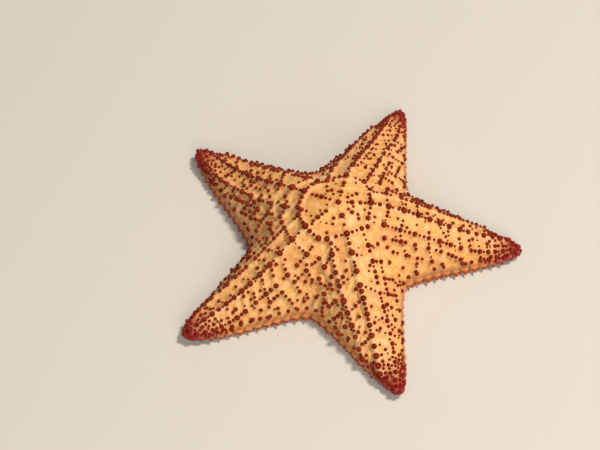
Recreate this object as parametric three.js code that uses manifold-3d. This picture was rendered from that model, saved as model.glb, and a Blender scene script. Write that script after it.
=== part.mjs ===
// A cushion sea star (Oreaster reticulatus), life size, lying on its mouth side.
// Millimetres, +Z up. Bearings run anticlockwise from +X, seen from above.
//
// The body is five kites that meet at the centre. A kite's corners are the centre, the notch on
// either side of its arm, and the arm's tip. A place on a kite is (s, t), both 0 to 1: s grows
// towards the clockwise notch, t towards the anticlockwise one, and both are 1 at the tip.
// So s = t is the ridge of the arm, and s = 1 or t = 1 is its margin.
import * as THREE from "three";
import { mergeGeometries, mergeVertices } from "three/addons/utils/BufferGeometryUtils.js";
import Module from "manifold-3d";

const wasm = await Module();
wasm.setup();

// ---- Driving dimensions

const ARMS = [
  { bearing: -3.8, reach: 150, bluntness: 13, hook: 0.5, lift: 4 },
  { bearing: 66.3, reach: 142.5, bluntness: 10.5, hook: 2.5, lift: 2 },
  { bearing: 144, reach: 145, bluntness: 11.5, hook: 0, lift: 7 },
  { bearing: 216.2, reach: 149.5, bluntness: 15, hook: 0, lift: 5 },
  { bearing: 288.8, reach: 145, bluntness: 11, hook: -1, lift: 4 },
];
// The notch after each arm, anticlockwise.
const NOTCHES = [
  { bearing: 33, reach: 74.5 },
  { bearing: 109, reach: 63.5 },
  { bearing: 184.8, reach: 71 },
  { bearing: 253, reach: 74 },
  { bearing: 322.4, reach: 71 },
];
const DOME = 57; // the disc's height above its margin
const MARGIN_LEVEL = 8; // the margin's height above the floor, at a notch
const TIP_THINNING = 0.4; // the share of that height lost by the tip
const NOTCH_ROUNDING = 15.5; // how far the margin runs square to a notch's bearing
const SWELL_POWER = 1.81; // how far the dome stays high before it falls
const SHOULDER_POWER = 0.77; // how steeply it meets the margin
const CURL_START = 0.4; // where an arm's underside leaves the floor, as a share of its length
const TUCK = 0.04; // how far the mouth side is drawn in under the margin
const PLATE_TUCK = 0.012; // the same at the joint between the two rows of edge plates

const PLATES_PER_SIDE = 13; // edge plates along one side of an arm, each with a spine
const EDGE_SPINE = { length: 4.4, radius: 1.9, sink: 1.2, sides: 3 };
const EDGE_SPINE_RISE = 0.35; // the slope of the edge spines above level
const RIDGE_SPINE = { length: 3.6, radius: 2.4, sink: 1.2, sides: 4 };
const FLANK_SPINE = { length: 3, radius: 2, sink: 1.2, sides: 3 };
const TIP_SHRINK = 0.45; // how much smaller a spine is at the tip than at the disc
const RIDGE_COUNT = 10; // spines along the ridge of an arm
const FLANK_COUNT = 5; // spines along the row on each side of it
const ROW_SPAN = [0.2, 0.92]; // where those rows start and end, as a share of the arm
const ROW_CROWDING = 1.35; // over 1, the spines crowd towards the tip
const FLANK_ASIDE = 0.17; // how far a flank row stands from the ridge, half way along the arm
const RING_SHARE = 0.45; // where the ring of plates on the disc crosses a notch's bearing

const FURROW = { start: 0.07, end: 0.93, radius: 3.6, tipRadius: 1.2, level: 0.3 };
const FEET_FLOOR = 0.5; // the tube feet stop this far above the floor
const MOUTH = { radius: 6, height: 4.2, level: 0.5, opening: 1.6 };
const SIEVE = { radius: 3.2, height: 1.6, sink: 0.9, arm: 1, share: 0.58 }; // the sieve plate
const TIP_SHARE = 0.8; // where an arm's red tip begins, as a share of its reach
const CUT = 0.3; // the clear gap between neighbouring pieces
const DISC_CORNER = { halfWidth: 6, inner: -5, outer: 8 }; // measured from a notch

const KITE_CELLS = 8; // cells along each edge of a kite
const RIM_ROWS = 2;
const COLOURS = {
  disc: 0xe0a353,
  arm: 0xe0a353,
  tip: 0x9c2a17,
  feet: 0xe8c79a,
  mouth: 0xc98a4a,
  sieve: 0xd8b27a,
};

// ---- The plan of the body

const UP = new THREE.Vector3(0, 0, 1);
const { degToRad, lerp } = THREE.MathUtils;
const heading = (degrees) => new THREE.Vector2(Math.cos(degToRad(degrees)), Math.sin(degToRad(degrees)));
const leftOf = (degrees) => heading(degrees + 90);
const atReach = ({ bearing, reach }, extra = 0) => heading(bearing).multiplyScalar(reach + extra);
const beside = (point, direction, distance) => point.clone().addScaledVector(direction, distance);
const rightNotchOf = (k) => NOTCHES[(k + NOTCHES.length - 1) % NOTCHES.length];

// The two sides of an arm run from its notches to its tip, square to the bearing at both ends.
const OUTLINES = ARMS.map((arm, k) => {
  const [left, right] = [NOTCHES[k], rightNotchOf(k)];
  const [tip, leftNotch, rightNotch] = [arm, left, right].map((place) => atReach(place));
  const across = leftOf(arm.bearing + arm.hook);
  const leftSide = new THREE.CubicBezierCurve(
    leftNotch,
    beside(leftNotch, leftOf(left.bearing), -NOTCH_ROUNDING),
    beside(tip, across, arm.bluntness),
    tip,
  );
  const rightSide = new THREE.CubicBezierCurve(
    rightNotch,
    beside(rightNotch, leftOf(right.bearing), NOTCH_ROUNDING),
    beside(tip, across, -arm.bluntness),
    tip,
  );
  return { tip, leftNotch, rightNotch, leftSide, rightSide };
});

// A Bezier curve is slow at its ends, so its parameter is eased to space the cells evenly.
const eased = (share) => share + Math.sin(2 * Math.PI * share) / (4 * Math.PI);

// A Coons patch: the kite's four edges, blended across its inside.
function planPoint(k, s, t) {
  const { tip, leftNotch, rightNotch, leftSide, rightSide } = OUTLINES[k];
  return new THREE.Vector2()
    .addScaledVector(leftSide.getPoint(eased(s)), t)
    .addScaledVector(rightSide.getPoint(eased(t)), s)
    .addScaledVector(tip, -s * t);
}

// ---- The heights of the body

function undersideLevel(k, s, t) {
  const past = Math.max(s * t - CURL_START, 0) / (1 - CURL_START);
  return 0.6 * ARMS[k].lift * past ** 2;
}

const marginLevel = (k, s, t) => MARGIN_LEVEL * (1 - TIP_THINNING * s * t) + ARMS[k].lift * (s * t) ** 3;

function backPoint(k, s, t) {
  const { x, y } = planPoint(k, s, t);
  const fall = (1 - s ** SWELL_POWER) * (1 - t ** SWELL_POWER);
  return new THREE.Vector3(x, y, marginLevel(k, s, t) + DOME * Math.max(fall, 0) ** SHOULDER_POWER);
}

function undersidePoint(k, s, t) {
  const { x, y } = planPoint(k, s * (1 - TUCK), t * (1 - TUCK));
  return new THREE.Vector3(x, y, undersideLevel(k, s, t));
}

// The edge between the back, at height 1, and the mouth side, at height 0. The share is of the
// way round an arm, from its clockwise notch by way of its tip.
function rimPoint(k, share, height) {
  const [s, t] = share < 0.5 ? [1, 2 * share] : [2 - 2 * share, 1];
  const tuck = height > 0.5 ? lerp(PLATE_TUCK, 0, 2 * height - 1) : lerp(TUCK, PLATE_TUCK, 2 * height);
  const { x, y } = planPoint(k, s * (1 - tuck), t * (1 - tuck));
  return new THREE.Vector3(x, y, lerp(undersideLevel(k, s, t), marginLevel(k, s, t), height));
}

// ---- Solids

function solid(geometry) {
  const bare = geometry.clone();
  bare.deleteAttribute("normal");
  bare.deleteAttribute("uv");
  const merged = mergeVertices(bare, 1e-3);
  const mesh = new wasm.Mesh({
    numProp: 3,
    vertProperties: new Float32Array(merged.attributes.position.array),
    triVerts: new Uint32Array(merged.index.array),
  });
  return new wasm.Manifold(mesh);
}

const joined = (solids) => solids.reduce((whole, piece) => whole.add(piece));

// A geometry whose every point is given a new place, rounded so that grids meet without a gap.
function bent(geometry, place) {
  const position = geometry.getAttribute("position");
  const rounded = (value) => Math.round(value * 100) / 100;
  for (let i = 0; i < position.count; i++) {
    const point = place(position.getX(i), position.getY(i), position.getZ(i));
    position.setXYZ(i, rounded(point.x), rounded(point.y), rounded(point.z));
  }
  return geometry;
}

const bentGrid = (columns, rows, place) =>
  bent(new THREE.PlaneGeometry(1, 1, columns, rows), (x, y) => place(x + 0.5, y + 0.5));

function wholeBody() {
  const faces = ARMS.flatMap((_, k) => [
    bentGrid(KITE_CELLS, KITE_CELLS, (x, y) => backPoint(k, x, y)),
    bentGrid(KITE_CELLS, KITE_CELLS, (x, y) => undersidePoint(k, y, x)),
    bentGrid(2 * KITE_CELLS, RIM_ROWS, (x, y) => rimPoint(k, x, y)),
  ]);
  return solid(mergeGeometries(faces));
}

// A geometry built along +Y, stood on a point of the body and leaned along a direction.
function stoodOn(geometry, foot, direction) {
  const turn = new THREE.Quaternion().setFromUnitVectors(new THREE.Vector3(0, 1, 0), direction);
  return geometry.applyQuaternion(turn).translate(foot.x, foot.y, foot.z);
}

function spine(foot, direction, { length, radius, sink, sides }, scale = 1) {
  const height = (length + sink) * scale;
  const cone = new THREE.CylinderGeometry(0.3 * radius * scale, radius * scale, height, sides);
  cone.translate(0, height / 2 - sink * scale, 0);
  return solid(stoodOn(cone, foot, direction));
}

function backNormal(k, s, t) {
  const step = 0.01;
  const here = backPoint(k, s, t);
  const towardsRight = backPoint(k, s + step, t).sub(here);
  const towardsLeft = backPoint(k, s, t + step).sub(here);
  return towardsRight.cross(towardsLeft).normalize();
}

// ---- The spines

function edgeSpines(k) {
  return Array.from({ length: 2 * PLATES_PER_SIDE }, (_, i) => {
    const share = (i + 0.5) / (2 * PLATES_PER_SIDE);
    const foot = rimPoint(k, share, 0.8);
    const ahead = rimPoint(k, share + 0.01, 0.8).sub(foot);
    const outward = ahead.cross(UP).setZ(0).normalize().setZ(EDGE_SPINE_RISE).normalize();
    const nearTip = 1 - Math.abs(2 * share - 1);
    return spine(foot, outward, EDGE_SPINE, 1 - TIP_SHRINK * nearTip);
  });
}

function rowSpines(k, count, farthest, size) {
  return Array.from({ length: count }, (_, i) => {
    const share = lerp(...ROW_SPAN, 1 - (1 - i / (count - 1)) ** ROW_CROWDING);
    const aside = farthest * Math.sin(Math.PI * share);
    const [s, t] = [share + aside, share - aside];
    return spine(backPoint(k, s, t), backNormal(k, s, t), size, 1 - TIP_SHRINK * share);
  });
}

const armSpines = (k) => [
  ...edgeSpines(k),
  ...rowSpines(k, RIDGE_COUNT, 0, RIDGE_SPINE),
  ...rowSpines(k, FLANK_COUNT, FLANK_ASIDE, FLANK_SPINE),
  ...rowSpines(k, FLANK_COUNT, -FLANK_ASIDE, FLANK_SPINE),
];

const discSpines = () => [
  spine(backPoint(0, 0, 0), UP, RIDGE_SPINE),
  ...ARMS.map((_, k) => spine(backPoint(k, RING_SHARE, 0), backNormal(k, RING_SHARE, 0), FLANK_SPINE)),
];

// ---- What is cut into the body, and what fills it

// A tapering round bar under an arm, which follows the curl of its tip.
function furrowBar(k, clearance) {
  const { start, end, radius, tipRadius, level } = FURROW;
  const across = leftOf(ARMS[k].bearing).negate();
  const bar = new THREE.CylinderGeometry(1, 1, 1, 6, 3);
  const inset = clearance / ARMS[k].reach;
  return bent(bar, (x, y, z) => {
    const share = lerp(start + inset, end - inset, y + 0.5);
    const width = lerp(radius, tipRadius, y + 0.5) - clearance;
    const middle = planPoint(k, share, share).addScaledVector(across, x * width);
    return new THREE.Vector3(middle.x, middle.y, level + undersideLevel(k, share, share) + z * width);
  });
}

const post = (radius, bottom, top) =>
  new THREE.CylinderGeometry(radius, radius, top - bottom, 16)
    .rotateX(Math.PI / 2)
    .translate(0, 0, (top + bottom) / 2);

function sieveButton(clearance) {
  const { radius, height, sink, arm, share } = SIEVE;
  const [top, bottom, tall] = [0.8 * radius + clearance, radius + clearance, height + 2 * clearance];
  const button = new THREE.CylinderGeometry(top, bottom, tall, 12).translate(0, height / 2 - sink, 0);
  return solid(stoodOn(button, backPoint(arm, 0, share), backNormal(arm, 0, share)));
}

function tubeFeet(k) {
  const underFloor = new THREE.BoxGeometry(400, 400, 20).translate(0, 0, FEET_FLOOR - 10);
  return solid(furrowBar(k, CUT)).subtract(solid(underFloor));
}

function mouthLip() {
  const { radius, height, level, opening } = MOUTH;
  const profile = [
    [0, 2.6],
    [opening, 1.4],
    [opening + 1.2, 0],
    [radius - 0.6, 0.5],
    [radius, height],
    [0, height],
  ];
  const lip = new THREE.LatheGeometry(
    profile.map(([x, y]) => new THREE.Vector2(x, y)),
    20,
  );
  return solid(lip.rotateX(Math.PI / 2).translate(0, 0, level));
}

const body = joined([wholeBody(), ...ARMS.flatMap((_, k) => armSpines(k)), ...discSpines()])
  .subtract(joined(ARMS.map((_, k) => solid(furrowBar(k, 0)))))
  .subtract(solid(post(MOUTH.radius + CUT, -1, MOUTH.level + MOUTH.height + CUT)))
  .subtract(sieveButton(CUT));

// ---- The body's division into disc, arms and tips

// An upright prism that is taller than the body.
function prism(corners) {
  const outline = new THREE.ExtrudeGeometry(new THREE.Shape(corners), { depth: 120, bevelEnabled: false });
  return solid(outline.translate(0, 0, -20));
}

// The disc's outline runs from notch to notch, and takes in the edge plates on each notch.
function discPrism(clearance) {
  const side = DISC_CORNER.halfWidth + clearance;
  const [inner, outer] = [DISC_CORNER.inner + clearance, DISC_CORNER.outer + clearance];
  const corners = NOTCHES.flatMap((notch) => [
    beside(atReach(notch, inner), leftOf(notch.bearing), -side),
    beside(atReach(notch, outer), leftOf(notch.bearing), -side),
    beside(atReach(notch, outer), leftOf(notch.bearing), side),
    beside(atReach(notch, inner), leftOf(notch.bearing), side),
  ]);
  return prism(corners);
}

const armsAlone = body.subtract(discPrism(CUT));
const largestOf = (piece) => piece.decompose().sort((a, b) => b.volume() - a.volume())[0];

// What lies between two shares of an arm's reach, without any spine's point that a cut parts from it.
function armSlice(k, from, to) {
  const far = 300;
  const sector = [new THREE.Vector2(), ...[rightNotchOf(k), NOTCHES[k]].map((notch) => atReach(notch, far))];
  const { bearing, reach } = ARMS[k];
  const slab = new THREE.BoxGeometry((to - from) * reach, far, far);
  slab.translate(((from + to) / 2) * reach, 0, 0).rotateZ(degToRad(bearing));
  return largestOf(armsAlone.intersect(prism(sector)).intersect(solid(slab)));
}

// ---- The group

function meshOf(name, piece, colour, roughness) {
  const { numProp, numVert, vertProperties, triVerts } = piece.getMesh();
  const position = new Float32Array(numVert * 3);
  for (let i = 0; i < numVert; i++) {
    position.set(vertProperties.subarray(i * numProp, i * numProp + 3), i * 3);
  }
  const geometry = new THREE.BufferGeometry();
  geometry.setAttribute("position", new THREE.BufferAttribute(position, 3));
  geometry.setIndex(new THREE.BufferAttribute(new Uint32Array(triVerts), 1));
  geometry.computeVertexNormals();
  const mesh = new THREE.Mesh(geometry, new THREE.MeshStandardMaterial({ color: colour, roughness }));
  mesh.name = name;
  return mesh;
}

const seaStar = new THREE.Group();
seaStar.add(meshOf("disc", largestOf(body.intersect(discPrism(0))), COLOURS.disc, 0.55));
ARMS.forEach(({ reach }, k) => {
  const tipCut = CUT / reach;
  seaStar.add(
    meshOf(`arm_${k + 1}`, armSlice(k, 0, TIP_SHARE), COLOURS.arm, 0.55),
    meshOf(`arm_tip_${k + 1}`, armSlice(k, TIP_SHARE + tipCut, 1.2), COLOURS.tip, 0.5),
    meshOf(`tube_feet_${k + 1}`, tubeFeet(k), COLOURS.feet, 0.4),
  );
});
seaStar.add(meshOf("mouth", mouthLip(), COLOURS.mouth, 0.6));
seaStar.add(meshOf("sieve_plate", sieveButton(0), COLOURS.sieve, 0.7));

// The origin is on the floor, under the middle of the whole outline.
const box = new THREE.Box3().setFromObject(seaStar);
const middle = box.getCenter(new THREE.Vector3());
seaStar.position.set(-middle.x, -middle.y, -box.min.z);

export default seaStar;
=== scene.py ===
"""The looks of a cushion sea star, life size, lying on its mouth side on a pale floor."""

import bmesh
import bpy
import numpy as np
from mathutils import Matrix, Vector
from mathutils.kdtree import KDTree


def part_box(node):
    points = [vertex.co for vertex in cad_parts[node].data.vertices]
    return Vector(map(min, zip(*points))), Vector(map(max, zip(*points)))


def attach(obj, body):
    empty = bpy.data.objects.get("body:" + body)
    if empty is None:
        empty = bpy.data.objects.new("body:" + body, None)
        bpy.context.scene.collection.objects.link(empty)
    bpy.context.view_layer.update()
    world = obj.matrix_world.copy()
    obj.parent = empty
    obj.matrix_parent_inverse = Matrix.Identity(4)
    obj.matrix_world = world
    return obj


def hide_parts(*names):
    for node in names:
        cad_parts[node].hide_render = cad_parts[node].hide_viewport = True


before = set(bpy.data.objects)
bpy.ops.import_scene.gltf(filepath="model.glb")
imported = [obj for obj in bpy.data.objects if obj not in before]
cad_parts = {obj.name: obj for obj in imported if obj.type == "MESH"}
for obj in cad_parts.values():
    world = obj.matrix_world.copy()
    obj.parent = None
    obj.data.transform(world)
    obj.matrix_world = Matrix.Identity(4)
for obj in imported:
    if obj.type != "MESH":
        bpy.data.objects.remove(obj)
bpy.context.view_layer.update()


# ---------- the form of the body
# The body is a box of limy plates under tough skin: a domed disc that runs out into five tapering
# arms, flat on the mouth side. Its form is five kites that meet at the centre, with an arm's tip and
# the notches beside it as their other corners. A place on a kite is (s, t), from (0, 0) at the centre
# to (1, 0) at the clockwise notch, (0, 1) at the other one, and (1, 1) at the tip.
MM = 0.001
lip_low, lip_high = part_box("mouth")
CENTRE = np.array((lip_low + lip_high) / 2) * (1, 1, 0) / MM

ARM_BEARINGS = [-3.8, 66.3, 144, 216.2, 288.8]  # degrees
ARM_REACHES = [150, 142.5, 145, 149.5, 145]  # mm, as every size here
TIP_BLUNTNESS = [13, 10.5, 11.5, 15, 11]  # how far the edge runs square across the tip
TIP_HOOKS = [0.5, 2.5, 0, 0, -1]  # degrees that the tip turns aside
TIP_LIFTS = [4, 2, 7, 5, 4]
NOTCH_BEARINGS = [33, 109, 184.8, 253, 322.4]
NOTCH_REACHES = [74.5, 63.5, 71, 74, 71]
NOTCH_ROUNDING = 15.5  # how far the edge runs square across a notch
DOME = 57  # the disc's height above its edge
SWELL_POWER = 1.81  # how far the dome stays high before it falls
SHOULDER_POWER = 0.77  # how steeply it meets the edge
MARGIN_LEVEL = 8  # the edge's height above the floor
TIP_THINNING = 0.4  # the share of that height lost by the tip
CURL_START = 0.4  # where an arm's underside leaves the floor, as a share of its length
CURL = 0.6  # how much of the tip's lift its underside takes
TUCK = 0.04  # how far the mouth side is drawn in under the edge
TUCK_POWER = 2.2
UNDER_INSET = 1.3  # the mouth side's skin lies this far above the floor, on its grains
ARMS = range(5)


def heading(degrees, length=1.0):
    turn = np.radians(degrees)
    return np.array([np.cos(turn), np.sin(turn)]) * length


def unit(ways):
    return ways / np.linalg.norm(ways, axis=-1, keepdims=True)


def length_along(points):
    """How far along a line of points each of them lies."""
    return np.concatenate([[0], np.cumsum(np.linalg.norm(np.diff(points, axis=0), axis=1))])


def tree_of(points):
    """A tree that finds the nearest of many points."""
    tree = KDTree(len(points))
    for i, point in enumerate(points):
        tree.insert(point, i)
    tree.balance()
    return tree


def bezier(a, b, c, d, share):
    u = share[:, None]
    return (1 - u) ** 3 * a + 3 * (1 - u) ** 2 * u * b + 3 * (1 - u) * u**2 * c + u**3 * d


def plan(k, s, t):
    """The place of (s, t) seen from above: a patch blended from the kite's four edges."""
    tip = heading(ARM_BEARINGS[k], ARM_REACHES[k])
    across = heading(ARM_BEARINGS[k] + TIP_HOOKS[k] + 90, TIP_BLUNTNESS[k])
    left, right = (heading(NOTCH_BEARINGS[n], NOTCH_REACHES[n]) for n in (k, k - 1))
    left_run = heading(NOTCH_BEARINGS[k] + 90, -NOTCH_ROUNDING)
    right_run = heading(NOTCH_BEARINGS[k - 1] + 90, NOTCH_ROUNDING)
    even_s, even_t = (x + np.sin(2 * np.pi * x) / (4 * np.pi) for x in (s, t))
    left_side = bezier(left, left + left_run, tip + across, tip, even_s)
    right_side = bezier(right, right + right_run, tip - across, tip, even_t)
    return t[:, None] * left_side + s[:, None] * right_side - (s * t)[:, None] * tip


def margin_level(k, s, t):
    return MARGIN_LEVEL * (1 - TIP_THINNING * s * t) + TIP_LIFTS[k] * (s * t) ** 3


def underside_level(k, s, t):
    past = np.clip(s * t - CURL_START, 0, None) / (1 - CURL_START)
    return CURL * TIP_LIFTS[k] * past**2


def back(k, s, t):
    fall = np.clip((1 - s**SWELL_POWER) * (1 - t**SWELL_POWER), 0, None)
    height = margin_level(k, s, t) + DOME * fall**SHOULDER_POWER
    return np.column_stack([plan(k, s, t), height])


def underside(k, s, t):
    level = underside_level(k, s, t) + UNDER_INSET
    return np.column_stack([plan(k, s * (1 - TUCK), t * (1 - TUCK)), level])


def on_rim(share):
    """The place on a kite of a share of its rim, from the clockwise notch round the tip."""
    return np.where(share < 0.5, 1.0, 2 - 2 * share), np.where(share < 0.5, 2 * share, 1.0)


def rim(k, share, height):
    """The rounded edge: its height runs from 0 at the mouth side to 1 at the back."""
    s, t = on_rim(share)
    tuck = TUCK * (1 - height) ** TUCK_POWER
    low = underside_level(k, s, t) + UNDER_INSET
    level = low + (margin_level(k, s, t) - low) * height
    return np.column_stack([plan(k, s * (1 - tuck), t * (1 - tuck)), level])


def normals(surface, k, u, v, step=0.004):
    """The outward direction of a surface function at places that it is given."""
    u, v = np.clip(u, step, 1 - step), np.clip(v, step, 1 - step)
    along_u = surface(k, u + step, v) - surface(k, u - step, v)
    along_v = surface(k, u, v + step) - surface(k, u, v - step)
    return unit(np.cross(along_u, along_v))


# ---------- the net of limy plates
# Under the skin of the back lies a net of limy plates, tied by muscle. Rows of them run out along
# each arm, cross chains tie the rows, and a ring runs round the disc. They show as low ridges, with
# round knobs along them. Here a place is (share, aside): how far out along the arm, and how far from
# its middle, which is above 0 on the clockwise side.
rng = np.random.default_rng(7)
STATIONS = (0.2, 0.5, 0.8)  # shares of an arm: near the ring, half way out, and near the tip
SWAY_STATIONS = (0.2, 0.5, 0.85)
RIDGE_SWAYS = [  # aside of the arm's own ridge, at each of those
    (-0.03, -0.03, -0.04),
    (-0.05, -0.07, -0.04),
    (-0.03, -0.05, 0.03),
    (0.025, -0.035, 0.0),
    (0.02, 0.06, 0.08),
]
ROW_ASIDES = [0.0, 0.2, 0.275, 0.35, 0.42]  # of the ridge, and of each row outwards from it
ROW_KNOBS = [2.7, 2.45, 2.2, 2.05, 1.8]  # their large knobs' radii
ROW_BEADS = [0.88, 0.75, 0.45, 0.35, 0.3]  # the share of the beads between those that are there
ROW_END = 0.95
FLANK_BOW = (0.94, 2.2)  # twice the share where the rows beside the ridge stand widest, and their bow
OUTER_DRAW = 0.4  # how far the rows outside those draw together towards the tip
SWAY_FADE = 4  # rows this many out from the ridge don't sway with it
RIDGE_HEIGHTS = [1.8, 1.6, 1.1, 0.9, 0.7]
# How raised the outer rows are on each arm, clockwise side first: the smooth flanks hardly show them.
ROW_STRENGTHS = [(0.45, 1.0), (1.0, 1.0), (1.0, 1.0), (1.0, 0.5), (1.0, 0.6)]
RIDGE_HALF_WIDTH = 3.0
RIDGE_STEP = 0.8  # between the points that stand for a ridge
LINK_REACH = 0.09  # how much further out along the arm a cross chain ends than it starts
LINK_HEIGHT = 0.8
RING_HEIGHT = 1.2
RING_BEAD = 1.9
# The spokes on the disc: from and to, height, bead radius, and the share of the beads that are there.
RIDGE_SPOKE = ((0.03, 0.0), 0.5, 1.9, 0.7)
CORNER_SPOKE = ((0.17, 0.17), (0.04, 0.03), 0.3, 1.7, 0.55)
RIB_SPACINGS = [8, 6.5, 5]  # between ribs across an arm, at the stations
RIB_SPAN = [0.1, 0.9]
RIB_ENDS = [0.01, 0.48]  # aside
RIB_LEAN = 0.42  # how far out along the arm they run, for each step aside
RIB_WAVES = 40
RIB_KNOB_START = 0.3
RIB_HEIGHTS = [0.3, 1.6]
RIB_HALF_WIDTH = 1.9
RIB_START = [0.06, 0.2]  # aside of the arm's middle, they rise from faint to their full height here
# How raised the ribs are on each arm, clockwise side first, and the share of their stops with a knob.
RIB_STRENGTHS = [(0.4, 0.6), (1.1, 1.0), (1.1, 1.4), (1.0, 0.3), (1.4, 0.35)]
RIB_KNOBS = [(0.15, 0.3), (0.45, 0.4), (0.5, 0.75), (0.45, 0.2), (0.6, 0.2)]
BEAD_RADIUS = 1.65
BEAD_SPACING = 3.9
BEAD_MARGIN = 2.3  # half a large knob's room, at each end of a chain
NODE_SPACINGS = [14, 11.5, 7]  # between large knobs along a row, at the stations
NODE_SHRINK = 0.3  # how much smaller they are at the tip
LOOSE_GRAINS = 44  # tried on each arm, in the meshes of the net
TIP_KNOBS = 500  # tried on each tip
TIP_SHARE = 0.19  # how much of the arm they cover
RING_SHARES = [0.195, 0.235, 0.235, 0.235, 0.205]  # where the ring crosses each arm's ridge
RING_CORNER = 0.2  # and the lines between the arms
SIEVE_KITE, SIEVE_SHARE = 1, 0.58  # the sieve plate's place, on the line between two arms
SIEVE_ROOM = 4.6  # the knobs keep this far from its middle
SIEVE_FLAT = [3.5, 6.5]

ridge_points, ridge_strengths, ridge_widths = [], [], []
knob_places = []  # arm, share, aside, radius, in the order in which they take their room


def on_back(k, places):
    share, aside = np.array(places, float).reshape(-1, 2).T
    return back(k, np.clip(share + aside, 0, 1), np.clip(share - aside, 0, 1))


def line_of(k, places):
    """Points along a line of places on an arm, and how far along it each lies in mm."""
    points = on_back(k, places)
    return points, length_along(points)


def add_chain(k, start, end, strength, radius, keep, half_width=RIDGE_HALF_WIDTH):
    """A ridge straight from one place to another, with beads along it."""
    length = np.linalg.norm(np.subtract(*on_back(k, [start, end])))
    places = np.linspace(start, end, 3 + int(length / RIDGE_STEP))
    points, run = line_of(k, places)
    ridge_points.extend(points)
    ridge_strengths.extend([strength] * len(points))
    ridge_widths.extend([half_width] * len(points))
    count = max(0, round((run[-1] - 2 * BEAD_MARGIN) / BEAD_SPACING))
    for i in range(count):
        if rng.random() < keep:
            spot = (i + 0.5 + rng.normal(0, 0.08)) / count
            spot = np.interp(spot, (0, 1), (BEAD_MARGIN, run[-1] - BEAD_MARGIN))
            share, aside = (np.interp(spot, run, places[:, axis]) for axis in (0, 1))
            knob_places.append((k, share, aside, radius * rng.uniform(0.6, 1.2)))


def row_place(k, row, share):
    """Where a row stands at a share of the arm. Rows to the clockwise side are above 0."""
    sway = np.interp(share, SWAY_STATIONS, RIDGE_SWAYS[k]) * (1 - abs(row) / SWAY_FADE)
    widest, bow = FLANK_BOW
    spread = 1 - abs(2 * share - widest) ** bow if abs(row) == 1 else 1 - OUTER_DRAW * max(share - 0.5, 0)
    return share, np.sign(row) * ROW_ASIDES[abs(row)] * spread + sway


def off_arm(place):
    share, aside = place
    return abs(aside) > min(share, 0.97 - share)


rows = {}
for k in ARMS:
    for row in range(-4, 5):
        starts = RING_SHARES[k] if abs(row) < 2 else ROW_ASIDES[abs(row)] + 0.02
        places = [row_place(k, row, share) for share in np.linspace(starts, ROW_END, 150)]
        places = np.array([place for place in places if not off_arm(place)])
        _, run = line_of(k, places)
        stops = [0 if abs(row) < 2 else rng.uniform(1, 6)]
        while stops[-1] < run[-1]:
            share = np.interp(stops[-1], run, places[:, 0])
            spacing = np.interp(share, STATIONS, NODE_SPACINGS)
            stops.append(stops[-1] + spacing * rng.uniform(0.85, 1.15))
        rows[k, row] = [
            tuple(np.interp(stop, run, places[:, axis]) for axis in (0, 1)) for stop in stops[:-1]
        ]

knob_places.append((0, 0.0, 0.0, 2.8))
knob_places.extend((k, RING_CORNER, RING_CORNER, 2.3) for k in ARMS)
for (k, row), nodes in rows.items():
    for share, aside in nodes:
        shrink = 1 - NODE_SHRINK * max(share - 0.3, 0)
        knob_places.append((k, share, aside, ROW_KNOBS[abs(row)] * shrink * rng.uniform(0.85, 1.1)))
for (k, row), nodes in rows.items():
    height, keep = RIDGE_HEIGHTS[abs(row)], ROW_BEADS[abs(row)]
    height *= ROW_STRENGTHS[k][row < 0] if row else 1
    for start, end in zip(nodes, nodes[1:]):
        add_chain(k, start, end, height, BEAD_RADIUS * (1.1 if row == 0 else 1), keep)
    for side in (-1, 1) if row == 0 else (np.sign(row),):
        outer = rows.get((k, row + side), [])
        for start in nodes[1:]:
            further = [end for end in outer if 0 <= end[0] - start[0] < LINK_REACH]
            if further:
                add_chain(k, start, min(further), LINK_HEIGHT, BEAD_RADIUS * 0.85, 0.6)
for k in ARMS:
    # The ring, and spokes from it to the middle of the disc.
    crest = rows[k, 0][0]
    for side in (-1, 1):
        flank = rows[k, side][0]
        corner = (RING_CORNER, side * RING_CORNER)
        add_chain(k, crest, flank, RING_HEIGHT, RING_BEAD, 1)
        add_chain(k, flank, corner, RING_HEIGHT, RING_BEAD, 1)
    add_chain(k, crest, *RIDGE_SPOKE)
    add_chain(k, *CORNER_SPOKE)
    # Ribs lean outwards across both flanks of the arm, from its ridge to the edge plates.
    for side in (-1, 1):
        rib, last = RIB_SPAN
        while rib < last:
            spacing = np.interp(rib, STATIONS, RIB_SPACINGS)
            rib += spacing * rng.uniform(0.75, 1.25) / ARM_REACHES[k]
            bend = rng.uniform(0.7, 1.3) * RIB_LEAN
            wave, phase = rng.uniform(0.003, 0.01), rng.uniform(0, 6)
            line = [
                (rib + bend * far + wave * np.sin(RIB_WAVES * far + phase), side * far)
                for far in np.linspace(*RIB_ENDS, 60)
            ]
            line = [place for place in line if not off_arm(place)]
            if len(line) > 8:
                stops = np.linspace(0, len(line) - 1, max(2, round(len(line) / 7)))
                ends = [line[int(stop)] for stop in stops]
                for start, end in zip(ends, ends[1:]):
                    height = rng.uniform(*RIB_HEIGHTS) * RIB_STRENGTHS[k][side < 0]
                    height *= np.interp(abs(start[1]), RIB_START, (0.25, 1))
                    add_chain(k, start, end, height, 0, 0, RIB_HALF_WIDTH)
                    if rng.random() < RIB_KNOBS[k][side < 0] and start[0] > RIB_KNOB_START:
                        knob_places.append((k, *start, rng.uniform(1.2, 1.9)))
    # Loose grains in the meshes of the net, and a close cover of knobs on the tip.
    for _ in range(LOOSE_GRAINS):
        share, side = rng.uniform(0.1, 0.85), rng.uniform(-1, 1)
        knob_places.append((k, share, side * min(share, 1 - share) * 0.9, rng.uniform(0.7, 1.6)))
    for _ in range(TIP_KNOBS):
        share, side = 1 - TIP_SHARE * rng.random() ** 0.7, rng.uniform(-1, 1)
        knob_places.append((k, share, side * (1 - share) * 0.97, rng.uniform(1.2, 2.1)))

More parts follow.
